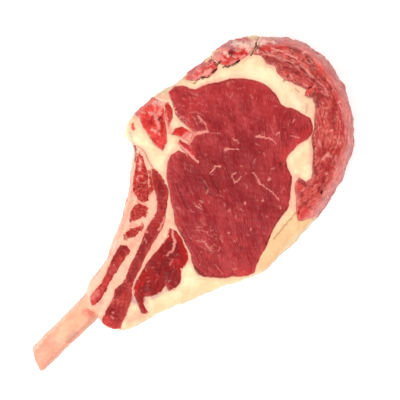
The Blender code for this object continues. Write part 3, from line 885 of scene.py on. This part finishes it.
# Backbone end and red marrow
# What is left of the sawn backbone, wet and bright, and three windows of red marrow in the rib.
def marrow_finish(name, deep, bright, pale, net):
    """Red marrow: a fine pale net of bone with dark red between."""
    material, shader, strand = new_finish(name, 0.2)
    place = strand.place()
    sway = place.swayed(4 * MM, 2.4 * MM)
    pores = sway.cells(3.8 * MM, "DISTANCE_TO_EDGE")
    clouds = place.noise(6 * MM, 3, 0.6)
    grain = sway.noise(1.2 * MM, 3, 0.6)
    colour = (clouds.step(0.38, 0.62) * 0.5 + grain.step(0.35, 0.65) * 0.5).blend(deep, bright)
    bars = (1 - pores.step(0, 0.12)) * grain.step(0.42, 0.7) * net
    colour = bars.blend(colour, pale)
    fringe = sway.noise(2.4 * MM, 3, 0.6) * 3.4 - strand.kept("seam")
    colour = (fringe.step(0.8, 1.5) * 0.85).blend(colour, pale)
    names = ("deep", "blood", "flush", "cream", "veins", "mauve")
    colour = tinted(colour, grain, names, deep=(172, 42, 40))
    outside = strand.kept("outside").step(0.1, 0.8)
    colour = (outside * clouds.step(0.4, 0.6) * 0.3).blend(colour, pale)
    colour = tinted(colour, grain, ("clefts",))
    connect(shader, colour, grain * 0.25 + 0.3, pores.step(0, 0.2) + grain, 0.5 * MM)
    return material


red_marrow = marrow_finish("red_marrow", (160, 38, 36), (206, 72, 62), (240, 148, 130), net=0.7)
chine_red = marrow_finish("chine_red", (218, 56, 50), (246, 92, 82), (250, 150, 134), net=0.2)
RED_RELIEF = (0.2, ((5, 0.3), (2.2, 0.18)))

flesh(
    "chine_bone", "chine_end", "red_bone", chine_red, *RED_RELIEF,
    (
        (1.7, 1, 29.2, 58.6, 30, 55.6, 32.4, 55.4, 34.6, 57, 37, 60.4),
        (1.7, 1, 37, 60.4, 38.3, 63, 38.6, 66, 36.8, 69), (1.4, 0.7, 30.4, 53.6, 30.6, 51),
        (1.7, 0.7, 32, 73.6, 33.2, 71), (1.7, 0.6, 40, 67, 44, 70.4),
    ),
    ((1, 0.7, 38.6, 60.4, 40.8, 60.2), (0.8, 0.5, 31, 55, 33, 54.4)),
    deep=(
        (3, 0.8, 38.6, 59.4, 36.6, 55.6, 34, 52.6), (3.4, 0.7, 30.6, 62, 34, 62.6, 36.8, 64.4),
        (2.2, 0.6, 29.6, 66, 30.6, 63), (2, 0.6, 24.4, 53, 24.2, 48),
    ),
    blood=((7, 0.5, 27, 45, 30, 50, 34, 50), (6, 0.5, 30, 68, 28, 60)),
    cream=((5, 0.5, 45, 71.4, 47, 69), (2.4, 0.4, 25, 71, 27, 74)),
    flush=((3, 0.7, 41, 63.4, 45, 66), (4, 0.4, 27, 73, 33, 75.5, 42, 75), (2.4, 0.6, 24, 66, 26, 70)),
    # This mauve stroke runs along the slice's upper outline: painted shade at the edge.
    mauve=((1.6, 0.5, 24, 75, 36, 76.4, 48, 75),),
)
flesh(
    "chine_lobe", "chine_lobe_end", "red_bone", chine_red, *RED_RELIEF,
    deep=((7, 0.4, 44, 54, 49, 62), (2, 0.6, 50, 64, 47, 62), (1.2, 0.6, 45.4, 52.6, 49, 57, 52, 61)),
    flush=((1.4, 0.7, 41.6, 54, 44, 60),),
)
flesh(
    "upper_marrow", "upper_marrow_window", "red_bone", red_marrow, *RED_RELIEF,
    blood=((5, 0.4, 4, 45, -2, 40, -6, 40),),
    deep=(
        (10, 0.25, 0, 43, -8, 35), (2.2, 0.8, 0, 37.5, 1.4, 36), (2, 0.8, -5, 33.5, -7, 31.4),
        (2, 0.8, -9.6, 35.4), (2.6, 0.7, -11, 31, -13.6, 30), (1.6, 0.8, 2.8, 41.4, 0.6, 43),
    ),
    flush=(
        (2.6, 0.9, 6.4, 48.8, 4.4, 46.6), (1, 0.7, 3.6, 44.6, 1, 44.6, 0.4, 42.6),
        (1, 0.6, -1, 39.6, -3.4, 41.6, -5, 39.4), (1, 0.5, -6, 36.6, -3.6, 34, -1.4, 33.6),
        (1, 0.5, -10.6, 33.4, -8.4, 33),
    ),
)
flesh(
    "middle_marrow", "middle_marrow_window", "red_bone", red_marrow, *RED_RELIEF,
    deep=((13, 0.45, -22, 22), (2.6, 0.6, -20, 24, -25, 20)),
)
flesh(
    "lower_marrow", "lower_marrow_window", "red_bone", red_marrow, *RED_RELIEF,
    deep=((11, 0.4, -36, 14),),
)

# Fat
# The crescent of hard white fat round the eye, the seams between the muscles, and the softer
# cover along the lower edge, which has yellowed and dried a little.
fat = fine_copy("fat_cover", "fat", grow=False)
sculpt(
    fat, 0.25, ((12, 0.3), (4.5, 0.1)), (),
    CORNER_CLEFTS + (
        (1.2, 0.5, 77, 61.6, 81, 61.6, 83.4, 60.8), (1.8, 1, 84, 60.6, 84.2, 58.6, 86, 57.2, 87.4, 56.2),
        (1.2, 0.5, 87.4, 56.2, 91.4, 56), (1.2, 0.7, 96.8, 58.4, 99, 57.8, 102.2, 58.4),
        (1.1, 0.4, 36, -64.6, 44, -63.6, 52, -63.2, 61, -62.3), (1.2, 0.5, 124.6, 14.2, 126, 13.8),
        (1.2, 0.3, 127.4, 4, 127.4, 1), (1.4, 0.25, 121, -13.6, 125, -10.4),
    ),
    tan=(
        (16, 1, 20, -74, 36, -68, 58, -68, 64, -76), (6, 0.5, -86, -33, -70, -38),
        (14, 0.4, -60, -44, -20, -58, 0, -68), (5, 0.4, 76, 61.6, 73, 66),
    ),
    deep=((2.6, 0.6, 20.8, 70.6, 19.8, 68.8),),
    blood=(
        (2.6, 0.8, 21.2, 71, 20, 69), (4, 0.5, 127.6, 47.2, 130, 48),
        (2.4, 0.5, 49, 38, 48.8, 34.4, 45.4, 32, 42.6, 31.4), (2, 0.4, 39.4, 51, 41.6, 57, 45, 62.6),
    ),
    pale=((8, 0.45, 113, 36, 119, 24, 121, 10), (5, 0.6, 122, 2, 119, -6)),
    flush=(
        (3, 0.7, 18.6, 73, 17.6, 69), (8, 0.55, 17.4, 68.4, 20.4, 71.4), (4, 0.5, 23, 73, 27, 75),
        (5, 0.6, 50, 74, 54, 68), (4, 1.4, 38, 48, 39.4, 51, 41.6, 57, 45, 62.6, 48, 67),
        (3, 0.8, 39.6, 41, 40.6, 36, 42, 31), (4, 1.6, 48, 39.6, 49.4, 34.4, 45.4, 31.6, 41.6, 31),
        (6, 0.75, -11, 1, -30, -5.4, -45, -9, -60, -12.4, -70, -18),
        (5, 0.6, -9.4, -3, -12, -14, -16, -24, -21, -31), (5, 0.45, 4, 15, -2, 7, -9, 0),
        (5, 0.4, 10, 26, 14, 30, 22, 34, 31, 36, 34, 31), (3, 0.5, 72, 57, 80, 55, 92, 49),
        (7, 0.35, 126, 4, 123, -12, 120, -20), (4, 0.6, 120, -21, 110, -31, 96, -43),
        (5, 0.5, 80, -44, 72, -49, 62, -58), (5, 0.35, 50, 52, 48, 44), (2.6, 0.5, 86, 61, 88.6, 58.6),
        (4, 0.4, 126, 28, 124, 33), (3, 0.6, 101, 57, 101, 62), (7, 0.6, -84, -31, -74, -35),
        (4, 0.4, 112, 47, 120, 46), (3, 0.5, 62, -61, 60, -68),
    ),
    cream=((6, 0.9, 131.4, 48.4, 135, 47.4), (3, 0.6, 121.4, 47.6, 126, 48.4)),
    mauve=(
        (6, 0.6, -73, -19.6, -70.6, -24, -66, -27.4), (3, 0.4, -60, -31, -48, -34),
        # The stroke from (50, 75) to (78, 68.6) runs along the slice's upper outline: painted shade at
        # the edge.
        (2.4, 0.45, 12, 61, 14.2, 68), (2.2, 0.4, 50, 75, 72, 70, 78, 68.6),
    ),
)


def fat_finish(name):
    """Hard fat: cream inside, flushed pink where it meets lean, tan where it has dried."""
    material, shader, strand = new_finish(name, 0.22)
    place, seam = strand.place(), strand.kept("seam")
    sway = place.swayed(6 * MM, 3 * MM)
    lobes = sway.cells(3.2 * MM, "SMOOTH_F1")
    clouds = place.noise(13 * MM, 3, 0.55)
    grain = sway.noise(1.6 * MM, 3, 0.6)
    colour = clouds.step(0.35, 0.65).blend((252, 216, 172), (254, 234, 190))
    flush = (1 - seam.step(0.4, 4)) * (grain * 0.6 + 0.45)
    colour = flush.blend(colour, (249, 196, 168))
    edge = (1 - seam.step(0, 0.9)) * (grain * 0.8 + 0.3)
    colour = edge.blend(colour, (238, 152, 134))
    colour = strand.kept("tan").blend(colour, (248, 200, 150))
    colour = (grain.step(0.52, 0.8) * 0.2).blend(colour, (240, 184, 146))
    outside = strand.kept("outside").step(0.1, 0.8)
    colour = (outside * 0.5).blend(colour, (248, 204, 160))
    hang = place.scaled((1, 1, 0.35)).swayed(9 * MM, 5 * MM)
    stain = hang.noise(11 * MM, 4, 0.65).step(0.5, 0.66) * outside * 0.6
    colour = stain.blend(colour, (238, 168, 146))
    # The fold lines on the outside are sunk in the relief and also painted darker: painted shade in the
    # creases.
    folds = 1 - hang.cells(15 * MM, "DISTANCE_TO_EDGE").step(0, 0.035)
    folds = folds * hang.noise(8 * MM, 3, 0.5).step(0.42, 0.6) * outside
    colour = (folds * 0.5).blend(colour, (222, 150, 118))
    names = ("pale", "deep", "flush", "blood", "cream", "mauve", "clefts")
    # In fat the clefts are painted brown: painted shade down in the slits.
    colour = tinted(colour, grain, names, flush=(246, 172, 150), clefts=(124, 72, 44))
    height = lobes + grain * 0.4 + outside * hang.noise(5 * MM, 3, 0.6) * 2 - folds
    connect(shader, colour, grain * 0.2 + 0.4, height, 0.3 * MM)
    return material


dress(fat, "fat_cover", fat_finish("fat"))

# Rib bone
# The rib, sawn through at its end and scraped bare beyond the meat. Inside the slice the saw
# shows it as a pale band beside its red marrow.
SHAFT_Y, SHAFT_Z = -3 * MM, 22.5 * MM  # the line along the middle of the shaft
PITH_ACROSS, PITH_UP = 11.5 * MM, 14 * MM
SAWN_END = -145 * MM
ROOT_START, ROOT_END = -100 * MM, -90 * MM  # where the scraped bone enters the meat
bone = fine_copy("rib_bone", "rib")
sculpt(
    bone, 0.1, ((30, 0.4), (12, 0.25), (5, 0.12)),
    flush=(
        (5, 0.9, -158, -11.8, -140, -12, -120, -12.4, -101, -12.6),
        (6, 0.6, -104, -3, -102, -8, -104, -11), (6, 0.35, -150, -8, -143, -8.4),
        (18, 0.4, -156, -2, -143, -2), (5, 0.4, -98, -8, -90, -6),
        (5, 0.5, -56, 16.6, -40, 23.6, -30, 28, -20, 33.4, -8, 42), (3, 0.5, -16, 28, -13.6, 22),
        (3, 0.5, -31.6, 19, -30, 16), (4, 0.4, -44, 8, -30, 8),
    ),
    deep=((2.4, 0.9, 3, 51.2, 7.4, 55.2, 12.6, 60), (2.4, 0.3, -101.4, -5, -101, -8)),
    blood=((3, 0.5, -101.6, -3.6, -101, -9), (2.4, 0.4, -100.6, -12, -108, -12.4)),
    marrow=(
        (3.6, 1, 2.6, 34, 0.4, 29.6, -3.6, 26.4, -8.6, 27), (1.6, 0.8, 4.6, 38, 3.4, 35),
        (2.2, 0.9, -15.6, 19.4, -18.6, 16.8, -21, 16.4), (1.6, 0.8, -27.6, 24.4, -30, 21),
        (2.2, 0.9, -26.6, 12.6, -30.4, 10.8), (1.4, 0.8, -41, 17.4, -43, 14),
        (1.4, 0.7, -12.4, 33.4, -16, 28.4),
    ),
    # The first three mauve strokes run along the bone's upper edge and are a painted shadow line there;
    # the fourth is a grey stain.
    mauve=(
        (1.3, 0.6, -154, 7.4, -130, 8, -106, 9), (1.6, 0.5, -98, 8.6, -86, 11, -60, 15.4),
        (1.8, 0.4, -60, 15.4, -44, 22.6, -24, 34, -6, 46.6, 8, 58), (5, 0.3, -127, -8.6, -120, -9),
        (1.2, 0.4, -157, -7, -153, 2),
    ),
    # The cream stroke along the shaft's upper edge is a painted highlight.
    cream=((3, 0.45, -150, 5, -130, 5.6, -104, 6.4),),
)
PITH_START, PITH_FADE = 0.86, 0.12  # shares of the way out from that line
places = corners_of(bone.data)
from_axis = np.hypot((places[:, 1] - SHAFT_Y) / PITH_ACROSS, (places[:, 2] - SHAFT_Z) / PITH_UP)
sawn = np.clip((-directions_of(bone.data)[:, 0] - 0.6) / 0.2, 0, 1) * (places[:, 0] < SAWN_END)
store(bone, "pith", sawn * np.clip((PITH_START - from_axis) / PITH_FADE, 0, 1))


def bone_finish(name):
    """Scraped bone: pale, streaked along its length, with stains, and spongy at its sawn end."""
    material, shader, strand = new_finish(name, 0.2)
    place = strand.place()
    streaks = place.scaled((0.12, 0.8, 1)).swayed(6 * MM, 2.4 * MM).noise(1.5 * MM, 3, 0.6)
    clouds = place.noise(12 * MM, 3, 0.6)
    grain = place.swayed(4 * MM, 2 * MM).noise(1.6 * MM, 3, 0.6)
    colour = clouds.step(0.38, 0.62).blend((246, 176, 142), (250, 190, 156))
    colour = (streaks.step(0.5, 0.7) * 0.3).blend(colour, (236, 156, 130))
    inside = strand.node("ShaderNodeSeparateXYZ", {0: place}).step(ROOT_START, ROOT_END)
    pale = (1 - strand.kept("rim").step(1, 6)) * inside
    colour = (inside * 0.55).blend(colour, (250, 200, 176))
    colour = (pale * 0.3).blend(colour, (252, 218, 194))
    near = (1 - strand.kept("seam").step(0.2, 2.4)) * (grain * 0.7 + 0.3)
    colour = near.blend(colour, (240, 160, 140))
    outside = strand.kept("outside").step(0.1, 0.8)
    # Outside the meat, the shaft's sides are painted darker and greyer: painted shade where they turn
    # away from the light above.
    colour = ((1 - inside) * outside * 0.45).blend(colour, (208, 164, 142))
    stain = place.swayed(9 * MM, 6 * MM).noise(14 * MM, 4, 0.65).step(0.5, 0.64) * outside
    colour = (stain * 0.5).blend(colour, (226, 134, 116))
    height = strand.node("ShaderNodeSeparateXYZ", {0: place}, out=2)
    edges = strand.math("ABSOLUTE", height * (2 / THICKNESS) - 1)
    along = place.scaled((0.3, 0.3, 1)).swayed(7 * MM, 4 * MM).noise(3 * MM, 4, 0.65)
    shreds = along.step(0.5, 0.58) * edges.step(0.35, 0.9) * outside * inside
    bare = place.swayed(9 * MM, 6 * MM).noise(9 * MM, 4, 0.65)
    colour = ((1 - bare.step(0.36, 0.5)) * outside * 0.4).blend(colour, (252, 216, 182))
    colour = (shreds * 0.8).blend(colour, (204, 84, 76))
    names = ("deep", "blood", "flush", "cream", "mauve", "clefts", "marrow")
    # The bone's cream is the painted highlight along its upper edge.
    colour = tinted(colour, grain, names, cream=(254, 234, 216), flush=(230, 134, 118))
    pores = place.cells(1.7 * MM, "DISTANCE_TO_EDGE").step(0.04, 0.2)
    pith = strand.kept("pith")
    colour = pith.blend(colour, pores.blend((238, 176, 146), (150, 46, 40)))
    relief = streaks + clouds + shreds - pith * pores
    connect(shader, colour, streaks * 0.25 + 0.36, relief, 0.25 * MM)
    return material


dress(bone, "rib_bone", bone_finish("bone"))
